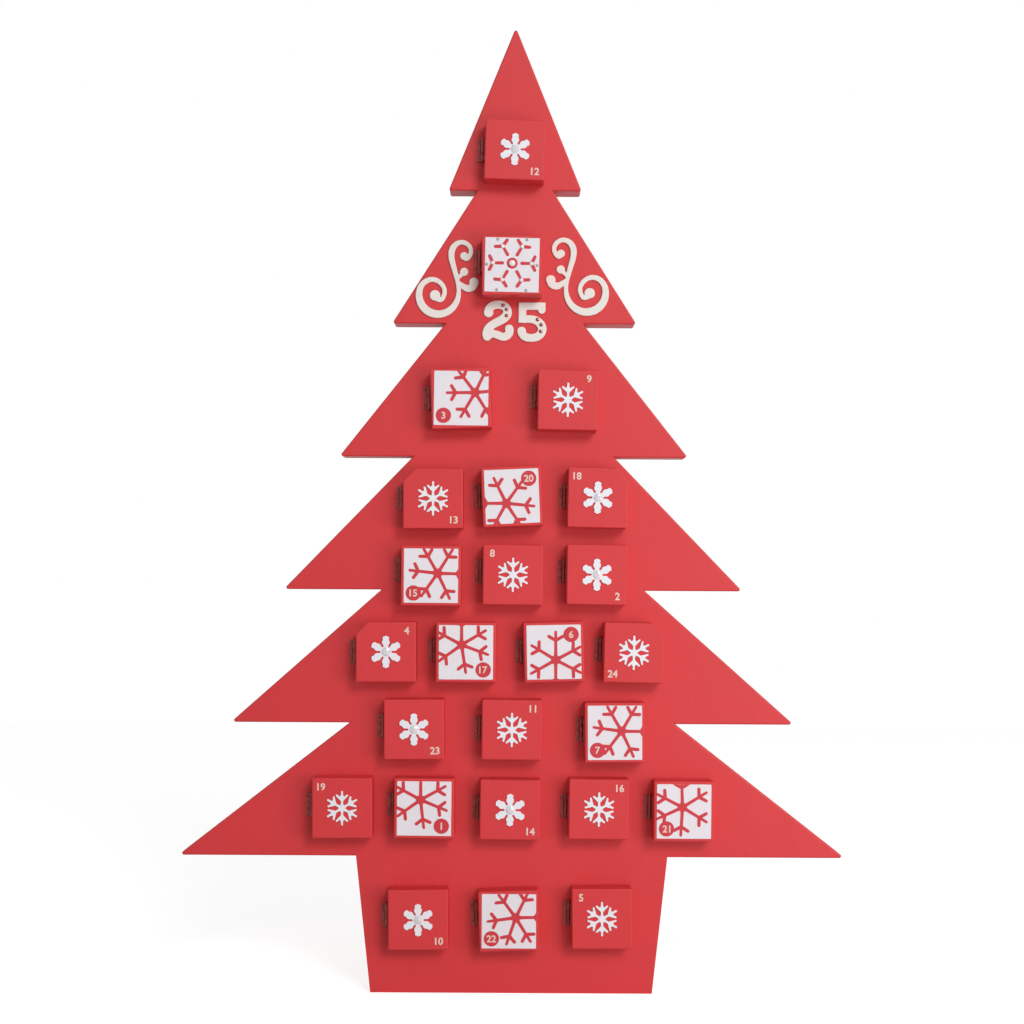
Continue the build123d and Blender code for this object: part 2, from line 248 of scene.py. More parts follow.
def make_paint_film():
    """Blotches, strokes and stipple, as a shade factor, a roughness and a height."""
    number, colour = "NodeSocketFloat", "NodeSocketColor"
    inputs = (("Colour", colour), ("Blotch", number), ("Stroke", number), ("Roughness", number))
    outputs = (("Colour", colour), ("Roughness", number), ("Height", number))
    tree, given, result = new_group("paint_film", inputs, outputs)
    place = put(tree, "ShaderNodeTexCoord").outputs["Object"]
    along = put(tree, "ShaderNodeMapping", {"Vector": place, "Scale": STROKE_SCALE}).outputs[0]
    blotch = noise(tree, place, BLOTCH_SCALE, 4)
    stroke = noise(tree, along, 1, 3)
    stipple = noise(tree, place, STIPPLE_SCALE, 2)
    shade = maths(tree, "MULTIPLY", maths(tree, "SUBTRACT", blotch, 0.5), given["Blotch"])
    lines = maths(tree, "MULTIPLY", maths(tree, "SUBTRACT", stroke, 0.5), given["Stroke"])
    factor = maths(tree, "ADD", maths(tree, "ADD", shade, lines), 1.0)
    scaled = put(tree, "ShaderNodeVectorMath", {0: given["Colour"], "Scale": factor}, operation="SCALE")
    tree.links.new(scaled.outputs[0], result.inputs["Colour"])
    dull = maths(tree, "MULTIPLY", maths(tree, "SUBTRACT", stipple, 0.5), 0.25)
    tree.links.new(maths(tree, "ADD", given["Roughness"], dull, clamp=True), result.inputs["Roughness"])
    height = maths(tree, "ADD", maths(tree, "MULTIPLY", stroke, 0.6), maths(tree, "MULTIPLY", stipple, 0.4))
    tree.links.new(height, result.inputs["Height"])
    return tree


def make_edge_wear():
    """A mask that is one on edges: where paint and metal are rubbed, and where the paint carries a painted
    highlight.
    """
    number = "NodeSocketFloat"
    inputs = (("Width", number), ("Amount", number))
    tree, given, result = new_group("edge_wear_and_highlight", inputs, (("Mask", number),))
    soft = put(tree, "ShaderNodeBevel", {"Radius": given["Width"]}, samples=BEVEL_SAMPLES).outputs[0]
    true = put(tree, "ShaderNodeNewGeometry").outputs["Normal"]
    turned = put(tree, "ShaderNodeVectorMath", {0: soft, 1: true}, operation="DOT_PRODUCT").outputs["Value"]
    edge = maths(tree, "SUBTRACT", 1.0, turned, clamp=True)
    place = put(tree, "ShaderNodeTexCoord").outputs["Object"]
    broken = spread(tree, noise(tree, place, CHIP_SCALE, 3), 0.38, 0.62, 0.25, 1.0)
    mask = maths(tree, "MULTIPLY", maths(tree, "MULTIPLY", edge, given["Amount"]), broken, clamp=True)
    tree.links.new(mask, result.inputs["Mask"])
    return tree


PAINT_FILM = make_paint_film()
EDGE_WEAR_AND_HIGHLIGHT = make_edge_wear()
print("shader groups:", PAINT_FILM.name, EDGE_WEAR_AND_HIGHLIGHT.name)

# %% [markdown]
# ## Finishes
# The board and boxes are fibreboard under satin red paint. Ornaments are cream paint, hinges are
# antique bronze. The trim is white card, red ink, white enamel with a fine glitter, glass stones and
# pearls. Colours are written as they look in plain light; the paints' lighter edge colour is partly
# wear and partly a painted highlight.

# %% Finishes
PAINT_SHEEN = 0.4
# How wide and strong the paint's lighter edges are: partly wear, partly a painted highlight.
PAINT_WEAR_AND_HIGHLIGHT = {"Width": 0.7 * MM, "Amount": 1.1}
PAINT_DEPTH = 0.15 * MM
HINGE_METAL = 0.35
HINGE_WEAR = {"Width": 0.2 * MM, "Amount": 1.8}
PATINA_SCALE = 480
PATINA_DEPTH = 0.05 * MM
CARD_FIBRE = {"Blotch": 0.10, "Stroke": 0.06}
FIBRE_DEPTH = 0.04 * MM
GRAIN_SCALE = 2600
SHIMMER_SCALE = 850
SHIMMER_SHARE = 0.55
GRAIN_DEPTH = 0.06 * MM
CLOUD_SCALE = 900
GLASS = {"Coat Weight": 0.6, "Coat Roughness": 0.05, "IOR": 1.6}


def srgb(red, green, blue):
    """A colour given as it shows on a screen, 0 to 255, in linear light."""
    shares = [c / 255 for c in (red, green, blue)]
    return (*[s / 12.92 if s <= 0.04045 else ((s + 0.055) / 1.055) ** 2.4 for s in shares], 1)


def new_finish(name):
    """A material with an empty tree, its Principled shader and its output."""
    material = bpy.data.materials.new(name)
    material.use_nodes = True
    tree = material.node_tree
    tree.nodes.clear()
    shader = put(tree, "ShaderNodeBsdfPrincipled")
    put(tree, "ShaderNodeOutputMaterial", {"Surface": shader.outputs[0]})
    return material, tree, shader


def use_group(tree, group, inputs):
    """Places a shader group in a material."""
    return put(tree, "ShaderNodeGroup", inputs, node_tree=group).outputs


def bump(tree, shader, height, strength, distance):
    """Feeds a height to the shader's normal."""
    inputs = {"Height": height, "Strength": strength, "Distance": distance}
    tree.links.new(put(tree, "ShaderNodeBump", inputs).outputs[0], shader.inputs["Normal"])


def painted(name, colour, worn_and_highlit, roughness, blotch, stroke, relief):
    """Brushed and rolled paint whose edges are lighter: partly rubbed thin, partly a painted highlight."""
    material, tree, shader = new_finish(name)
    shader.inputs["Specular IOR Level"].default_value = PAINT_SHEEN
    film_inputs = {"Colour": colour, "Blotch": blotch, "Stroke": stroke, "Roughness": roughness}
    film = use_group(tree, PAINT_FILM, film_inputs)
    # The edge mask lightens the paint's edges: partly wear, partly a painted highlight.
    edge_mask = use_group(tree, EDGE_WEAR_AND_HIGHLIGHT, PAINT_WEAR_AND_HIGHLIGHT)
    tree.links.new(mixed(tree, edge_mask["Mask"], film["Colour"], worn_and_highlit), shader.inputs["Base Color"])
    tree.links.new(film["Roughness"], shader.inputs["Roughness"])
    bump(tree, shader, film["Height"], relief, PAINT_DEPTH)
    return material


def bronzed(name, dark, light, rubbed):
    """Dark plated brass, lighter in blotches and bright on its rubbed edges."""
    material, tree, shader = new_finish(name)
    shader.inputs["Metallic"].default_value = HINGE_METAL
    place = put(tree, "ShaderNodeTexCoord").outputs["Object"]
    patina = spread(tree, noise(tree, place, PATINA_SCALE, 4), 0.35, 0.65, 0, 1)
    body = mixed(tree, patina, dark, light)
    edge_mask = use_group(tree, EDGE_WEAR_AND_HIGHLIGHT, HINGE_WEAR)
    tree.links.new(mixed(tree, edge_mask["Mask"], body, rubbed), shader.inputs["Base Color"])
    tree.links.new(spread(tree, patina, 0, 1, 0.55, 0.36), shader.inputs["Roughness"])
    bump(tree, shader, patina, 0.25, PATINA_DEPTH)
    return material


def printed_card(name, colour, roughness):
    """Card or ink on card: a faint fibre in colour and surface."""
    material, tree, shader = new_finish(name)
    film = use_group(tree, PAINT_FILM, CARD_FIBRE | {"Colour": colour, "Roughness": roughness})
    tree.links.new(film["Colour"], shader.inputs["Base Color"])
    tree.links.new(film["Roughness"], shader.inputs["Roughness"])
    bump(tree, shader, film["Height"], 0.2, FIBRE_DEPTH)
    return material


def glittered(name, colour, cool, warm):
    """Enamel strewn with fine flat grains, each tilted its own way, that shimmer in two tints."""
    material, tree, shader = new_finish(name)
    place = put(tree, "ShaderNodeTexCoord").outputs["Object"]
    grains = put(tree, "ShaderNodeTexVoronoi", {"Vector": place, "Scale": GRAIN_SCALE})
    tone = put(tree, "ShaderNodeSeparateColor", {0: grains.outputs["Color"]}).outputs[0]
    patches = put(tree, "ShaderNodeTexVoronoi", {"Vector": place, "Scale": SHIMMER_SCALE})
    hue = put(tree, "ShaderNodeSeparateColor", {0: patches.outputs["Color"]}).outputs[0]
    tint = mixed(tree, hue, cool, warm)
    tree.links.new(mixed(tree, SHIMMER_SHARE, colour, tint), shader.inputs["Base Color"])
    tree.links.new(spread(tree, tone, 0, 1, 0.22, 0.6), shader.inputs["Roughness"])
    bump(tree, shader, tone, 0.35, GRAIN_DEPTH)
    return material


def polished(name, colour, deep, roughness):
    """Glass stone or pearl: a smooth coat over a slightly clouded body."""
    material, tree, shader = new_finish(name)
    place = put(tree, "ShaderNodeTexCoord").outputs["Object"]
    cloud = spread(tree, noise(tree, place, CLOUD_SCALE, 2), 0.35, 0.65, 0, 1)
    tree.links.new(mixed(tree, cloud, colour, deep), shader.inputs["Base Color"])
    tree.links.new(spread(tree, cloud, 0, 1, roughness, roughness + 0.06), shader.inputs["Roughness"])
    for label, value in GLASS.items():
        shader.inputs[label].default_value = value
    return material


# The second colour is the paint's lighter edge colour: partly wear, partly a painted highlight.
RED_PAINT = painted("red_paint", srgb(209, 51, 55), srgb(222, 86, 83), 0.5, 0.10, 0.07, 0.30)
CREAM_PAINT = painted("cream_paint", srgb(232, 226, 219), srgb(239, 234, 228), 0.55, 0.08, 0.05, 0.35)
BRONZE = bronzed("antique_bronze", srgb(132, 45, 43), srgb(158, 64, 57), srgb(178, 96, 84))
WHITE_CARD = printed_card("white_card", srgb(231, 224, 229), 0.6)
RED_INK = printed_card("red_ink", srgb(200, 42, 54), 0.5)
CREAM_INK = printed_card("cream_ink", srgb(228, 202, 190), 0.5)
GLITTER_TINTS = (srgb(206, 236, 238), srgb(248, 224, 238))
WHITE_GLITTER = glittered("white_glitter", srgb(240, 238, 240), *GLITTER_TINTS)
CLEAR_STONE = polished("clear_stone", srgb(224, 219, 222), srgb(204, 199, 204), 0.06)
RED_STONE = polished("red_stone", srgb(150, 22, 34), srgb(112, 12, 24), 0.06)
PEARL = polished("pearl", srgb(240, 234, 226), srgb(222, 216, 214), 0.2)
SILVER_BEAD = polished("silver_bead", srgb(172, 166, 168), srgb(146, 140, 144), 0.25)
print("finishes:", len(bpy.data.materials))

# %% [markdown]
# ## Dress the frame
# The record names a material slot for every node of the frame, so one table gives each its finish.


# %% Dress the frame
def dress(node, finish):
    """Gives a CAD node one finish in every material slot."""
    mesh = frame["nodes"][node].data
    mesh.materials.clear()
    mesh.materials.append(finish)


FINISH_OF_SLOT = {"red_paint": RED_PAINT, "cream_paint": CREAM_PAINT, "bronze": BRONZE}
for part in frame["record"]["subparts"]:
    dress(part["node"], FINISH_OF_SLOT[part["material_slot"]])

# %% [markdown]
# ## Rounded ornaments
# The scrolls and numerals are sawn from thin board, sanded round and painted. In the frame their edges
# are sharp. A voxel remesh of a copy gives even small faces, and smoothing these rounds every edge
# alike. The copies then stand for the sharp ones.

# %% Rounded ornaments
ORNAMENTS = ("scroll_left", "scroll_right", "numeral_two", "numeral_five")
ORNAMENT_VOXEL = 0.24 * MM
SANDING_STRENGTH = 0.5
SANDING_PASSES = 8
WELD_DISTANCE = 0.001 * MM


def sanded(node):
    """A copy of a node's mesh with its edges rounded off."""
    mesh = frame["nodes"][node].data.copy()
    merged = bmesh.new()
    merged.from_mesh(mesh)
    bmesh.ops.remove_doubles(merged, verts=merged.verts, dist=WELD_DISTANCE)
    merged.to_mesh(mesh)
    merged.free()
    blank = bpy.data.objects.new("blank", mesh)
    bpy.context.scene.collection.objects.link(blank)
    blank.modifiers.new("even_faces", "REMESH").voxel_size = ORNAMENT_VOXEL
    rubbed = blank.modifiers.new("sanding", "SMOOTH")
    rubbed.factor = SANDING_STRENGTH
    rubbed.iterations = SANDING_PASSES
    graph = bpy.context.evaluated_depsgraph_get()
    result = bpy.data.meshes.new_from_object(blank.evaluated_get(graph), depsgraph=graph)
    bpy.data.objects.remove(blank)
    for face in result.polygons:
        face.use_smooth = True
    result.materials.clear()
    result.materials.append(CREAM_PAINT)
    return result


for node in ORNAMENTS:
    ornament = bpy.data.objects.new(f"{node}_sanded", sanded(node))
    bpy.context.scene.collection.objects.link(ornament)
    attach(ornament, "board")
    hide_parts(node)
    print(ornament.name, len(ornament.data.polygons), "faces")

# %% [markdown]
# ## Where the doors are
# Each door was nailed on by eye, so it leans a little. Its hinge's axis tells by how much, and its box
# tells where its front is. From both comes a small frame: X to the door's right, Y up, Z out of its
# front. Trim is made flat in that frame and then set in place.

# %% Door frames
DAYS = range(1, 26)
LAST_DAY = max(DAYS)


def door_frame(day):
    """The matrix from a door's own flat frame, on its front, to the row frame."""
    joint = next(j for j in frame["joints"] if j["name"] == f"door_{day:02d}_swing")
    lean_x, _, lean_z = (-c for c in joint["axis"])
    low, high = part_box(f"door_{day:02d}")
    middle = (low + high) / 2
    right, up, out = Vector((lean_z, 0, -lean_x)), Vector((lean_x, 0, lean_z)), Vector((0, -1, 0))
    matrix = Matrix((right, up, out)).transposed().to_4x4()
    matrix.translation = Vector((middle.x, low.y, middle.z))
    return matrix


def set_on_body(name, mesh, body):
    """Makes a piece of a mesh that is already in place."""
    mesh.name = name
    piece = bpy.data.objects.new(name, mesh)
    bpy.context.scene.collection.objects.link(piece)
    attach(piece, body)


def set_on_door(name, mesh, day):
    """Places a flat mesh on a door's front, where it rides with the door."""
    mesh.transform(door_frame(day))
    set_on_body(name, mesh, f"day_{day:02d}")


print("first door at", [round(c, 4) for c in door_frame(1).translation])

# %% [markdown]
# ## Snowflakes
# All the snowflakes follow one rule: an arm with side barbs, turned six times about a hub. That is a
# job for Geometry Nodes. Each bar is the convex hull of two round discs, so its ends are round and it
# may taper. An arm is a root that widens to the hub, a spine, a shoulder past the fork, two barbs and
# a knob. The tree grows one arm on each point of its mesh, and a point's own lean lets a drawn snowflake
# be uneven. A Boolean fuses the bars to an arm, a second one fuses the arms to one clean plate, and a
# third trims what would reach past the tile's edge.

# %% Snowflake tree
ARM_COUNT = 6
DISC_SIDES = 16
FLAKE_SIZES = (
    "Start", "Reach", "Spine width", "Tip width", "Fork place", "Barb length", "Barb width",
    "Barb tip width", "Barb angle", "Shoulder place", "Shoulder width",
    "Knob radius", "Hub radius", "Hub reach", "Thickness",
)
TRIM_SIZES = ("Turn", "Across", "Up", "Lift", "Crop")
OTHER_SOCKETS = {"Segments": "NodeSocketInt", "Rings": "NodeSocketInt", "Smooth": "NodeSocketBool"}


def add_sockets(tree, sizes):
    """Gives a tree its geometry, sizes and finish sockets, and returns what it is given."""
    for way in ("OUTPUT", "INPUT"):
        tree.interface.new_socket("Geometry", in_out=way, socket_type="NodeSocketGeometry")
    for label in sizes:
        kind = OTHER_SOCKETS.get(label, "NodeSocketFloat")
        tree.interface.new_socket(label, in_out="INPUT", socket_type=kind)
    tree.interface.new_socket("Finish", in_out="INPUT", socket_type="NodeSocketMaterial")
    return tree.nodes.new("NodeGroupInput").outputs


def hand_out(tree, geometry, finish):
    """Ends a tree: real geometry with one finish."""
    real = put(tree, "GeometryNodeRealizeInstances", {0: geometry}).outputs[0]
    inked = put(tree, "GeometryNodeSetMaterial", {"Geometry": real, "Material": finish}).outputs[0]
    put(tree, "NodeGroupOutput", {0: inked})


def make_flake_tree():
    """Builds the node tree that grows a snowflake."""
    tree = bpy.data.node_groups.new("snowflake", "GeometryNodeTree")
    given = add_sockets(tree, FLAKE_SIZES)

    def disc(x, y, radius):
        """An upright round disc at a point of the arm."""
        inputs = {"Vertices": DISC_SIDES, "Radius": radius, "Depth": given["Thickness"]}
        plate = put(tree, "GeometryNodeMeshCylinder", inputs).outputs["Mesh"]
        place = put(tree, "ShaderNodeCombineXYZ", {0: x, 1: y}).outputs[0]
        return put(tree, "GeometryNodeTransform", {"Geometry": plate, "Translation": place}).outputs[0]

    def joined(*parts):
        """Several geometries as one."""
        node = tree.nodes.new("GeometryNodeJoinGeometry")
        for part in parts:
            tree.links.new(part, node.inputs[0])
        return node.outputs[0]

    def bar(start, end, start_width, end_width):
        """A flat bar with round ends between two points, as wide as given at each."""
        start_disc = disc(*start, maths(tree, "MULTIPLY", start_width, 0.5))
        end_disc = disc(*end, maths(tree, "MULTIPLY", end_width, 0.5))
        return put(tree, "GeometryNodeConvexHull", {0: joined(start_disc, end_disc)}).outputs[0]

    def fused(plates):
        """Overlapping plates as one clean plate."""
        node = put(tree, "GeometryNodeMeshBoolean", {1: plates}, operation="UNION", solver="EXACT")
        node.inputs["Self Intersection"].default_value = True
        return node.outputs[0]

    fork = (given["Fork place"], 0.0)
    ahead = maths(tree, "MULTIPLY", given["Barb length"], maths(tree, "COSINE", given["Barb angle"]))
    aside = maths(tree, "MULTIPLY", given["Barb length"], maths(tree, "SINE", given["Barb angle"]))
    tip = maths(tree, "ADD", given["Fork place"], ahead)
    other = maths(tree, "MULTIPLY", aside, -1.0)
    barbs = [bar(fork, (tip, y), given["Barb width"], given["Barb tip width"]) for y in (aside, other)]
    reach = (given["Reach"], 0.0)
    spine = bar((given["Start"], 0.0), reach, given["Spine width"], given["Tip width"])
    shoulder = bar(fork, (given["Shoulder place"], 0.0), given["Spine width"], given["Shoulder width"])
    hub_width = maths(tree, "MULTIPLY", given["Hub radius"], 2.0)
    root = bar((0.0, 0.0), (given["Hub reach"], 0.0), hub_width, given["Spine width"])
    arm = fused(joined(root, spine, shoulder, *barbs, disc(*reach, given["Knob radius"])))
    index = tree.nodes.new("GeometryNodeInputIndex").outputs[0]
    step = maths(tree, "MULTIPLY", index, math.tau / ARM_COUNT)
    lean = put(tree, "GeometryNodeInputNamedAttribute", {"Name": "lean"}, data_type="FLOAT")
    angle = maths(tree, "ADD", step, lean.outputs["Attribute"])
    turned = put(tree, "ShaderNodeCombineXYZ", {2: angle}).outputs[0]
    inputs = {"Points": given["Geometry"], "Instance": arm, "Rotation": turned}
    arms = put(tree, "GeometryNodeInstanceOnPoints", inputs).outputs[0]
    arms = put(tree, "GeometryNodeRealizeInstances", {0: arms}).outputs[0]
    half = maths(tree, "MULTIPLY", given["Thickness"], 0.5)
    rise = put(tree, "ShaderNodeCombineXYZ", {2: half}).outputs[0]
    lifted = put(tree, "GeometryNodeTransform", {"Geometry": fused(arms), "Translation": rise})
    hand_out(tree, lifted.outputs[0], given["Finish"])
    return tree


def make_trim_tree():
    """Builds the node tree that turns a snowflake, moves it on its tile and trims it there."""
    tree = bpy.data.node_groups.new("tile_trim", "GeometryNodeTree")
    given = add_sockets(tree, TRIM_SIZES)
    turned = put(tree, "ShaderNodeCombineXYZ", {2: given["Turn"]}).outputs[0]
    place = {0: given["Across"], 1: given["Up"], 2: given["Lift"]}
    offset = put(tree, "ShaderNodeCombineXYZ", place).outputs[0]
    inputs = {"Geometry": given["Geometry"], "Translation": offset, "Rotation": turned}
    moved = put(tree, "GeometryNodeTransform", inputs).outputs[0]
    side = maths(tree, "MULTIPLY", given["Crop"], 2.0)
    window = put(tree, "ShaderNodeCombineXYZ", {0: side, 1: side, 2: side}).outputs[0]
    block = put(tree, "GeometryNodeMeshCube", {"Size": window}).outputs["Mesh"]
    trimmed = put(tree, "GeometryNodeMeshBoolean", {1: moved}, operation="INTERSECT", solver="EXACT")
    tree.links.new(block, trimmed.inputs[1])
    hand_out(tree, trimmed.outputs[0], given["Finish"])
    return tree


def grow(tree, inputs, seed):
    """Runs a node tree on a mesh with the given inputs and returns its result as a plain mesh."""
    maker = bpy.data.objects.new("maker", seed)
    bpy.context.scene.collection.objects.link(maker)
    modifier = maker.modifiers.new("grow", "NODES")
    modifier.node_group = tree
    for item in tree.interface.items_tree:
        if item.name in inputs:
            modifier[item.identifier] = inputs[item.name]
    graph = bpy.context.evaluated_depsgraph_get()
    mesh = bpy.data.meshes.new_from_object(maker.evaluated_get(graph), depsgraph=graph)
    maker.modifiers.remove(modifier)
    bpy.data.objects.remove(maker)
    return mesh


def points_mesh(places):
    """A mesh of loose points."""
    mesh = bpy.data.meshes.new("points")
    mesh.from_pydata(places, [], [])
    return mesh


def arm_points(leans=(0,) * ARM_COUNT):
    """A point for each arm, all in the middle, that knows how far its arm leans, in degrees."""
    mesh = points_mesh([(0, 0, 0)] * ARM_COUNT)
    lean = mesh.attributes.new("lean", "FLOAT", "POINT")
    lean.data.foreach_set("value", [math.radians(angle) for angle in leans])
    return mesh


FLAKE_TREE = make_flake_tree()
TRIM_TREE = make_trim_tree()
print("snowflake tree:", len(FLAKE_TREE.nodes), "nodes, trim tree:", len(TRIM_TREE.nodes))

# %% [markdown]
# ## Tiles
# Ten doors carry a white card that leaves a narrow red rim. Its corners are barely eased. The cards
# were stuck on by eye, so a few are turned a little on their doors.

# %% Tiles
TILE_SIZE = 33.4 * MM
TILE_THICKNESS = 0.32 * MM
TILE_CORNER = 0.5 * MM
CORNER_STEPS = 4
RIM_SHARE = 0.4
RIM_STEPS = 2
FRONT_SHARE = 0.9
TILE_DAYS = (1, 3, 6, 7, 15, 17, 20, 21, 22, 25)
TILE_TURNS = {3: -2.5, 6: -0.5, 22: -1.8, 25: -1.2}


def eased(solid, edges, offset, steps):
    """Rounds some edges of a mesh in work."""
    bmesh.ops.bevel(solid, geom=edges, offset=offset, segments=steps, affect="EDGES", profile=0.5)


def tile_mesh():
    """A thin square plate with eased corners and a soft front edge."""
    sheet = bmesh.new()
    bmesh.ops.create_cube(sheet, size=1)
    bmesh.ops.scale(sheet, vec=(TILE_SIZE, TILE_SIZE, TILE_THICKNESS), verts=sheet.verts)
    bmesh.ops.translate(sheet, vec=(0, 0, TILE_THICKNESS / 2), verts=sheet.verts)
    upright = [e for e in sheet.edges if abs(e.verts[0].co.z - e.verts[1].co.z) > TILE_THICKNESS / 2]
    eased(sheet, upright, TILE_CORNER, CORNER_STEPS)
    rim = [e for e in sheet.edges if all(v.co.z > TILE_THICKNESS * FRONT_SHARE for v in e.verts)]
    eased(sheet, rim, TILE_THICKNESS * RIM_SHARE, RIM_STEPS)
    mesh = bpy.data.meshes.new("tile")
    sheet.to_mesh(mesh)
    sheet.free()
    mesh.materials.append(WHITE_CARD)
    return mesh


def set_on_tile(name, mesh, day):
    """Places a flat mesh on a door as its tile is turned there."""
    mesh.transform(Matrix.Rotation(math.radians(TILE_TURNS.get(day, 0.0)), 4, "Z"))
    set_on_door(name, mesh, day)


for day in TILE_DAYS:
    set_on_tile(f"tile_{day:02d}", tile_mesh(), day)
print("tiles:", len(TILE_DAYS))

# %% [markdown]
# ## Printed snowflakes
# On a tile the red snowflake is large and set off its middle, so that the edge crops it. Some stand
# with an arm upright, some with an arm level. They are drawn by hand, so their arms lean by a few degrees
# this way or that. The last day's is even, ends in its forks and shows whole.

# %% Printed snowflakes
LEVEL, UPRIGHT = 0, 30
PRINT_THICKNESS = 0.10 * MM
PRINTED_FLAKE = {
    "Start": 0.0, "Reach": 17.2 * MM, "Spine width": 2.1 * MM, "Tip width": 1.7 * MM,
    "Fork place": 12.0 * MM, "Barb length": 4.9 * MM, "Barb width": 2.2 * MM, "Barb tip width": 2.0 * MM,
    "Barb angle": math.radians(60), "Shoulder place": 12.8 * MM, "Shoulder width": 2.7 * MM,
    "Knob radius": 0.85 * MM, "Hub radius": 1.9 * MM, "Hub reach": 3.2 * MM,
    "Thickness": PRINT_THICKNESS, "Finish": RED_INK,
}
LAST_DAY_FLAKE = PRINTED_FLAKE | {
    "Start": 6.0 * MM, "Reach": 11.0 * MM, "Fork place": 11.9 * MM, "Barb length": 4.6 * MM,
    "Barb angle": math.radians(64), "Shoulder place": 11.9 * MM, "Shoulder width": 2.2 * MM,
    "Hub radius": 3.4 * MM, "Hub reach": 0.0,
}
PRINTED_PLACES = {
    1: (-2.2, 5.4, UPRIGHT), 3: (8.6, 3.5, LEVEL), 6: (1.0, -4.8, UPRIGHT), 7: (4.1, 1.0, LEVEL),
    15: (4.1, 1.5, LEVEL), 17: (-2.7, 4.6, UPRIGHT), 20: (-3.7, -4.1, LEVEL), 21: (-1.0, 2.6, UPRIGHT),
    22: (4.2, 2.3, LEVEL), 25: (0.1, 1.0, LEVEL),
}
ARM_LEANS = {
    1: (-1, 0, 2, 6, 7, 8), 3: (6, 5, 8, 1, 0, 3), 6: (-3, -1, -2, -2, -1, 2), 7: (-1, -1, 0, -8, -7, -5),
    15: (-1, -2, 0, -6, -5, -4), 17: (1, 0, 2, 6, 9, 10), 20: (-8, -8, -6, -2, -1, 1),
    21: (2, 2, 3, -5, -3, -1), 22: (1, 4, 7, 8, 11, 2),
}
ON_TILE = {"Lift": TILE_THICKNESS, "Crop": TILE_SIZE / 2, "Finish": RED_INK}
for day, (across, up, turn) in PRINTED_PLACES.items():
    if day == LAST_DAY:
        whole = grow(FLAKE_TREE, LAST_DAY_FLAKE, arm_points())
    else:
        whole = grow(FLAKE_TREE, PRINTED_FLAKE, arm_points(ARM_LEANS[day]))
    placed = ON_TILE | {"Across": across * MM, "Up": up * MM, "Turn": math.radians(turn)}
    set_on_tile(f"printed_flake_{day:02d}", grow(TRIM_TREE, placed, whole), day)
print("printed snowflakes:", len(PRINTED_PLACES))

# %% [markdown]
# ## Glittered snowflakes
# The plain red doors carry a small white snowflake: either a stout one with blunt, notched arms and a
# stone in its middle, or a fine one whose arms end in slim arrowheads.

# %% Glittered snowflakes
STOUT_DAYS = (2, 4, 10, 12, 14, 18, 23)
FINE_DAYS = (5, 8, 9, 11, 13, 16, 19, 24)
STOUT_FLAKE = {
    "Start": 0.0, "Reach": 8.5 * MM, "Spine width": 2.9 * MM, "Tip width": 2.8 * MM,
    "Fork place": 4.5 * MM, "Barb length": 4.1 * MM, "Barb width": 2.0 * MM, "Barb tip width": 2.0 * MM,
    "Barb angle": math.radians(14), "Shoulder place": 5.9 * MM, "Shoulder width": 4.7 * MM,
    "Knob radius": 1.4 * MM, "Hub radius": 3.3 * MM, "Hub reach": 0.0,
    "Thickness": 0.7 * MM, "Finish": WHITE_GLITTER,
}
FINE_FLAKE = STOUT_FLAKE | {
    "Reach": 9.9 * MM, "Spine width": 1.4 * MM, "Tip width": 1.2 * MM, "Fork place": 5.0 * MM,
    "Barb length": 4.3 * MM, "Barb width": 1.8 * MM, "Barb tip width": 1.1 * MM,
    "Barb angle": math.radians(49), "Shoulder place": 6.8 * MM, "Shoulder width": 2.6 * MM,
    "Knob radius": 0.65 * MM, "Hub radius": 1.3 * MM, "Hub reach": 2.8 * MM, "Thickness": 0.5 * MM,
}
for days, sizes in ((STOUT_DAYS, STOUT_FLAKE), (FINE_DAYS, FINE_FLAKE)):
    flake = grow(FLAKE_TREE, sizes, arm_points())
    flake.transform(Matrix.Rotation(math.radians(UPRIGHT), 4, "Z"))
    for day in days:
        set_on_door(f"flake_{day:02d}", flake.copy(), day)
print("glittered snowflakes:", len(STOUT_DAYS) + len(FINE_DAYS))

# %% [markdown]
# ## Day numbers
# The numbers are plain digits. On a red door they stand small in a corner, and on a tile they are set
# in a red disc. Text is made a mesh first, then scaled to its height and centred.

# %% Day numbers
NUMBER_ACROSS = 12.8 * MM
NUMBER_UP = 13.1 * MM
NUMBER_HEIGHT = 4.6 * MM
NUMBER_THICKNESS = 0.08 * MM
BADGE_OFFSET = 10.7 * MM
BADGE_RADIUS = 4.7 * MM
BADGE_THICKNESS = 0.12 * MM
BADGE_SIDES = 48
BADGE_NUMBER_HEIGHT = 4.4 * MM
DIGIT_WEIGHT = 0.025
DIGIT_DEPTH = 0.05
DIGIT_STEPS = 4
LEFT, RIGHT, LOW, HIGH = -1, 1, -1, 1
NUMBER_CORNERS = {
    2: (RIGHT, LOW), 4: (RIGHT, HIGH), 5: (LEFT, HIGH), 8: (LEFT, HIGH), 9: (RIGHT, HIGH),
    10: (RIGHT, LOW), 11: (RIGHT, HIGH), 12: (RIGHT, LOW), 13: (RIGHT, LOW), 14: (RIGHT, LOW),
    16: (RIGHT, HIGH), 18: (LEFT, HIGH), 19: (LEFT, HIGH), 23: (RIGHT, LOW), 24: (LEFT, LOW),
}
BADGE_CORNERS = {
    1: (RIGHT, LOW), 3: (LEFT, LOW), 6: (RIGHT, HIGH), 7: (LEFT, LOW), 15: (LEFT, LOW),
    17: (RIGHT, LOW), 20: (RIGHT, HIGH), 21: (LEFT, LOW), 22: (LEFT, LOW),
}


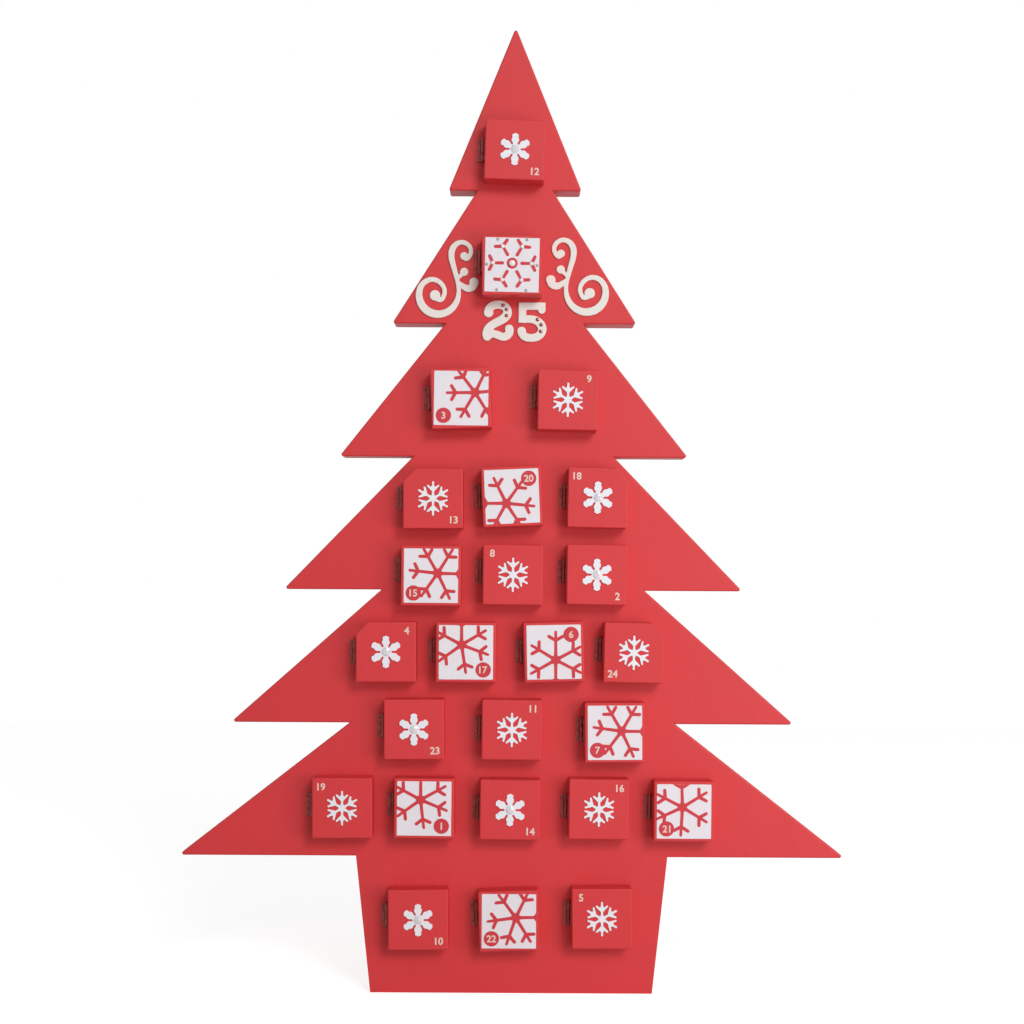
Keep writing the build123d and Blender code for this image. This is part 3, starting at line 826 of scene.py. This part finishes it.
def number_mesh(day, height, place, lift):
    """A day's digits as a thin plate of that height, centred on a place."""
    text = bpy.data.curves.new("digits", "FONT")
    text.body = str(day)
    text.offset = DIGIT_WEIGHT
    text.extrude = DIGIT_DEPTH
    text.resolution_u = DIGIT_STEPS
    writer = bpy.data.objects.new("digits", text)
    bpy.context.scene.collection.objects.link(writer)
    graph = bpy.context.evaluated_depsgraph_get()
    mesh = bpy.data.meshes.new_from_object(writer.evaluated_get(graph), depsgraph=graph)
    bpy.data.objects.remove(writer)
    xs, ys, zs = zip(*[v.co for v in mesh.vertices])
    scale = height / (max(ys) - min(ys))
    centre = Vector(((min(xs) + max(xs)) / 2, (min(ys) + max(ys)) / 2, min(zs)))
    thin = NUMBER_THICKNESS / (max(zs) - min(zs))
    mesh.transform(Matrix.Diagonal((scale, scale, thin, 1)) @ Matrix.Translation(-centre))
    mesh.transform(Matrix.Translation((*place, lift)))
    mesh.materials.clear()
    mesh.materials.append(CREAM_INK)
    return mesh


def badge_mesh(place):
    """A thin red disc with a soft rim."""
    disc = bmesh.new()
    round_plate = {"radius1": BADGE_RADIUS, "radius2": BADGE_RADIUS, "depth": BADGE_THICKNESS}
    bmesh.ops.create_cone(disc, cap_ends=True, segments=BADGE_SIDES, **round_plate)
    rim = [e for e in disc.edges if all(v.co.z > 0 for v in e.verts)]
    eased(disc, rim, BADGE_THICKNESS * RIM_SHARE, RIM_STEPS)
    lift = TILE_THICKNESS + PRINT_THICKNESS + BADGE_THICKNESS / 2
    bmesh.ops.translate(disc, vec=(*place, lift), verts=disc.verts)
    mesh = bpy.data.meshes.new("badge")
    disc.to_mesh(mesh)
    disc.free()
    mesh.materials.append(RED_INK)
    return mesh


for day, (side, level) in NUMBER_CORNERS.items():
    place = (side * NUMBER_ACROSS, level * NUMBER_UP)
    set_on_door(f"number_{day:02d}", number_mesh(day, NUMBER_HEIGHT, place, 0.0), day)
for day, (side, level) in BADGE_CORNERS.items():
    place = (side * BADGE_OFFSET, level * BADGE_OFFSET)
    top = TILE_THICKNESS + PRINT_THICKNESS + BADGE_THICKNESS
    set_on_tile(f"badge_{day:02d}", badge_mesh(place), day)
    digits = number_mesh(day, BADGE_NUMBER_HEIGHT, place, top)
    set_on_tile(f"number_{day:02d}", digits, day)
print("numbers:", len(NUMBER_CORNERS) + len(BADGE_CORNERS))

# %% [markdown]
# ## Stones and pearls
# A glass stone sits in the middle of each stout snowflake. On the last day's tile, pearls mark the forks
# of the snowflake and silver beads stand at the tile's edge in line with its arms. Dark red stones stud
# the two numerals. One tree sets a low dome on every given point: few segments and flat faces make a cut
# stone, many and smooth ones a pearl.

# %% Stones and pearls
STUD_SIZES = ("Radius", "Rise", "Segments", "Rings", "Smooth")


def make_stud_tree():
    """Builds the node tree that sets a dome on each point of its mesh."""
    tree = bpy.data.node_groups.new("studs", "GeometryNodeTree")
    given = add_sockets(tree, STUD_SIZES)
    inputs = {"Segments": given["Segments"], "Rings": given["Rings"], "Radius": given["Radius"]}
    ball = put(tree, "GeometryNodeMeshUVSphere", inputs).outputs["Mesh"]
    flat = maths(tree, "DIVIDE", given["Rise"], given["Radius"])
    scale = put(tree, "ShaderNodeCombineXYZ", {0: 1.0, 1: 1.0, 2: flat}).outputs[0]
    dome = put(tree, "GeometryNodeTransform", {"Geometry": ball, "Scale": scale}).outputs[0]
    inputs = {"Geometry": dome, "Shade Smooth": given["Smooth"]}
    shaded = put(tree, "GeometryNodeSetShadeSmooth", inputs).outputs[0]
    inputs = {"Points": given["Geometry"], "Instance": shaded}
    studs = put(tree, "GeometryNodeInstanceOnPoints", inputs).outputs[0]
    hand_out(tree, studs, given["Finish"])
    return tree


STUD_TREE = make_stud_tree()
CUT_STONE = {"Segments": 10, "Rings": 6, "Smooth": False, "Finish": CLEAR_STONE}
STONE = CUT_STONE | {"Radius": 2.7 * MM, "Rise": 0.8 * MM}
for day in STOUT_DAYS:
    seat = points_mesh([(0, 0, STOUT_FLAKE["Thickness"])])
    set_on_door(f"stone_{day:02d}", grow(STUD_TREE, STONE, seat), day)

ROUND_BEAD = {"Segments": 16, "Rings": 10, "Smooth": True, "Finish": PEARL}
PEARLS = ROUND_BEAD | {"Radius": 1.3 * MM, "Rise": 0.9 * MM}
CENTRE_PEARL = PEARLS | {"Radius": 2.0 * MM, "Rise": 1.1 * MM}
BEADS = PEARLS | {"Radius": 0.95 * MM, "Rise": 0.7 * MM, "Finish": SILVER_BEAD}
BEAD_INSET = 1.2 * MM
across, up, _ = (value * MM for value in PRINTED_PLACES[LAST_DAY])
seat_height = TILE_THICKNESS + PRINT_THICKNESS
pearl_seats, bead_seats = [], []
for arm in range(ARM_COUNT):
    angle = arm * math.tau / ARM_COUNT
    along = Vector((math.cos(angle), math.sin(angle), 0))
    pearl_seats.append(Vector((across, up, seat_height)) + along * LAST_DAY_FLAKE["Fork place"])
    to_edge = (TILE_SIZE / 2 - BEAD_INSET) / max(abs(along.x), abs(along.y))
    bead_seats.append(Vector((0, 0, TILE_THICKNESS)) + along * to_edge)
for name, sizes, seats in (
    (f"pearls_{LAST_DAY}", PEARLS, pearl_seats),
    (f"beads_{LAST_DAY}", BEADS, bead_seats),
    (f"stone_{LAST_DAY}", CENTRE_PEARL, [(across, up, seat_height)]),
):
    set_on_tile(name, grow(STUD_TREE, sizes, points_mesh(seats)), LAST_DAY)

RED_STUDS = {
    "Radius": 1.25 * MM, "Rise": 0.7 * MM, "Segments": 8, "Rings": 5, "Smooth": False, "Finish": RED_STONE,
}
STUD_PLACES = {
    "numeral_two": ((-6.6, -3.1), (-4.5, -5.6), (-4.5, -9.5)),
    "numeral_five": ((-5.6, -10.8), (-3.4, -14.0), (-3.6, -18.1)),
}
TO_FRONT = Matrix.Rotation(math.radians(90), 4, "X")
for numeral, places in STUD_PLACES.items():
    low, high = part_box(numeral)
    mesh = grow(STUD_TREE, RED_STUDS, points_mesh([(x * MM, y * MM, 0) for x, y in places]))
    mesh.transform(Matrix.Translation((high.x, low.y, high.z)) @ TO_FRONT)
    set_on_body(f"stones_{numeral}", mesh, "board")
print("stones and pearls on", len(STOUT_DAYS) + 1, "doors and", len(STUD_PLACES), "numerals")

# %% [markdown]
# ## Size growth
# The bounds of everything shown are measured and set against the CAD box, and the growth is printed in mm.

# %% Size growth
visual_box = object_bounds()
growth = [[round((b - a) / MM, 2) for a, b in zip(*pair)] for pair in zip(cad_box, visual_box)]
print("grown by mm:", growth)
